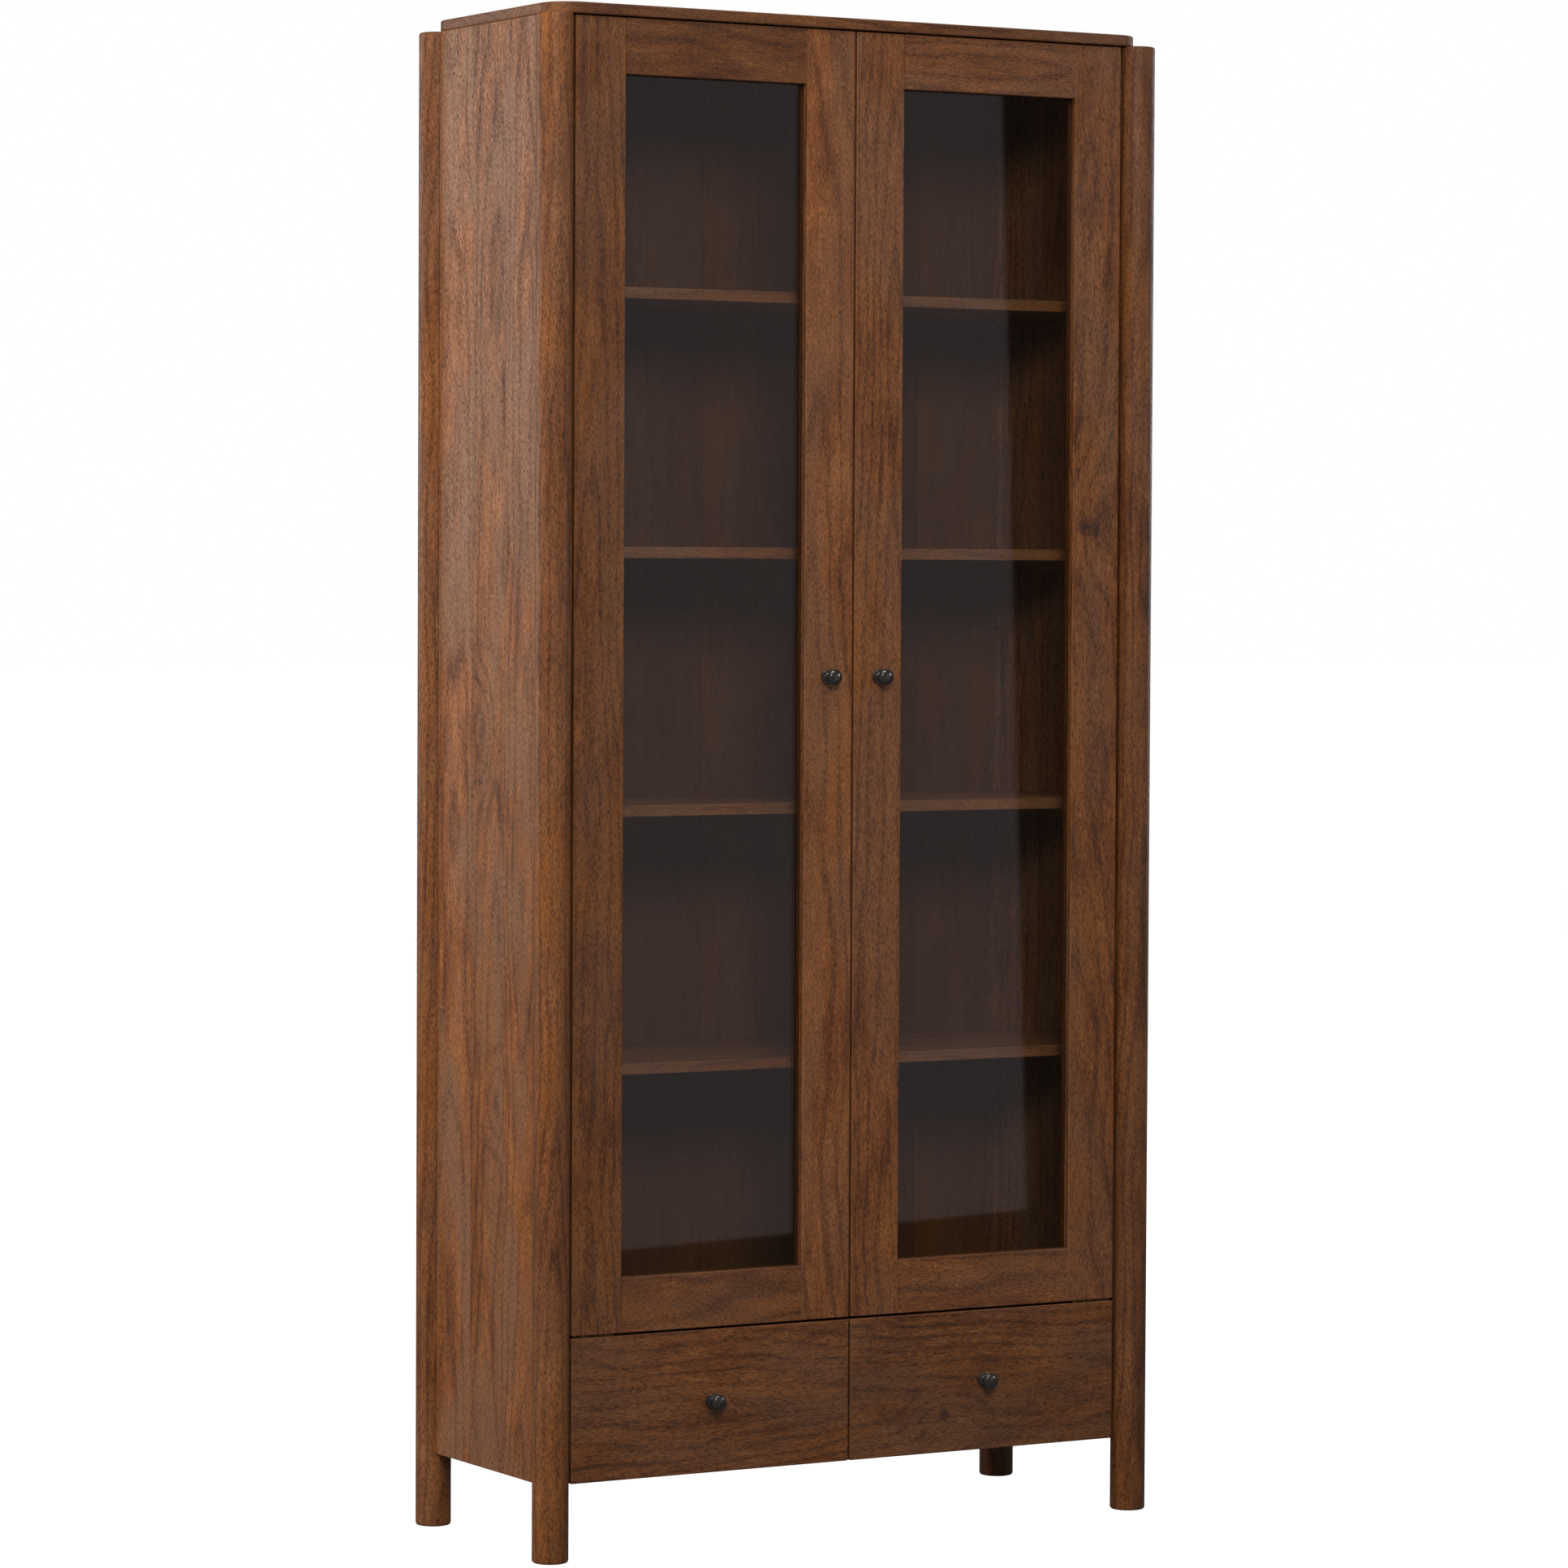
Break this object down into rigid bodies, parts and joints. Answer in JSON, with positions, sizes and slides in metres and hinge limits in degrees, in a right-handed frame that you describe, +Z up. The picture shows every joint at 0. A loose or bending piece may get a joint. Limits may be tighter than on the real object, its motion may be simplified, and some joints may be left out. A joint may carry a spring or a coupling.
{
  "type": "china cabinet",
  "caption": "Tall display cabinet on round corner posts, with framed glass doors over shelves and inset drawers below.",
  "frame": {"origin": "on the floor, midway across the posts and midway between the knobs' tips and the backs of the rear posts", "axes": "+X to the viewer's right as the front is seen, +Y from the front to the back, +Z up"},
  "size_m": [0.89, 0.368, 1.9],
  "materials": {
    "satin_wood": "satin reddish brown hardwood with short dark pores",
    "inner_wood": "matt brown hardwood inside the case",
    "drawer_wood": "thinly oiled paler hardwood",
    "clear_glass": "clear float glass",
    "dark_metal": "dark bronzed metal, half gloss",
    "brass": "brushed brass"
  },
  "bodies": {
    "case": {"back_panel": "inner_wood", "bottom_panel": "inner_wood", "deck_panel": "satin_wood", "door_stop_rail": "satin_wood", "drawer_divider": "inner_wood", "left_door_bottom_case_bracket": "brass", "left_door_top_case_leaf": "brass", "left_drawer_guide_batten": "drawer_wood", "post_front_left": "satin_wood", "post_front_right": "satin_wood", "post_rear_left": "satin_wood", "post_rear_right": "satin_wood", "right_door_bottom_case_bracket": "brass", "right_door_top_case_leaf": "brass", "right_drawer_guide_batten": "drawer_wood", "shelf_1": "inner_wood", "shelf_2": "inner_wood", "shelf_3": "inner_wood", "shelf_4": "inner_wood", "shelf_cleat_left_1": "inner_wood", "shelf_cleat_left_2": "inner_wood", "shelf_cleat_left_3": "inner_wood", "shelf_cleat_left_4": "inner_wood", "shelf_cleat_right_1": "inner_wood", "shelf_cleat_right_2": "inner_wood", "shelf_cleat_right_3": "inner_wood", "shelf_cleat_right_4": "inner_wood", "side_panel_left": "satin_wood", "side_panel_right": "satin_wood", "top_board": "satin_wood"},
    "left_door": {"left_door_bottom_pin_leaf": "brass", "left_door_bottom_rail": "satin_wood", "left_door_glass": "clear_glass", "left_door_glazing_bead": "satin_wood", "left_door_hinge_stile": "satin_wood", "left_door_knob": "dark_metal", "left_door_meeting_stile": "satin_wood", "left_door_top_pin_leaf": "brass", "left_door_top_rail": "satin_wood"},
    "right_door": {"right_door_bottom_pin_leaf": "brass", "right_door_bottom_rail": "satin_wood", "right_door_glass": "clear_glass", "right_door_glazing_bead": "satin_wood", "right_door_hinge_stile": "satin_wood", "right_door_knob": "dark_metal", "right_door_meeting_stile": "satin_wood", "right_door_top_pin_leaf": "brass", "right_door_top_rail": "satin_wood"},
    "left_drawer": {"left_drawer_back": "drawer_wood", "left_drawer_bottom": "drawer_wood", "left_drawer_front": "satin_wood", "left_drawer_inner_side": "drawer_wood", "left_drawer_knob": "dark_metal", "left_drawer_outer_side": "drawer_wood"},
    "right_drawer": {"right_drawer_back": "drawer_wood", "right_drawer_bottom": "drawer_wood", "right_drawer_front": "satin_wood", "right_drawer_inner_side": "drawer_wood", "right_drawer_knob": "dark_metal", "right_drawer_outer_side": "drawer_wood"}
  },
  "joints": [
    {"name": "left_door_hinge", "type": "hinge", "parent": "case", "child": "left_door", "pos_m": [-0.3895, -0.154, 1.08], "axis": [0, 0, -1], "range_deg": [0, 105]},
    {"name": "right_door_hinge", "type": "hinge", "parent": "case", "child": "right_door", "pos_m": [0.3895, -0.154, 1.08], "axis": [0, 0, 1], "range_deg": [0, 105]},
    {"name": "left_drawer_slide", "type": "slide", "parent": "case", "child": "left_drawer", "axis": [0, -1, 0], "range_m": [0, 0.21]},
    {"name": "right_drawer_slide", "type": "slide", "parent": "case", "child": "right_drawer", "axis": [0, -1, 0], "range_m": [0, 0.21]}
  ]
}
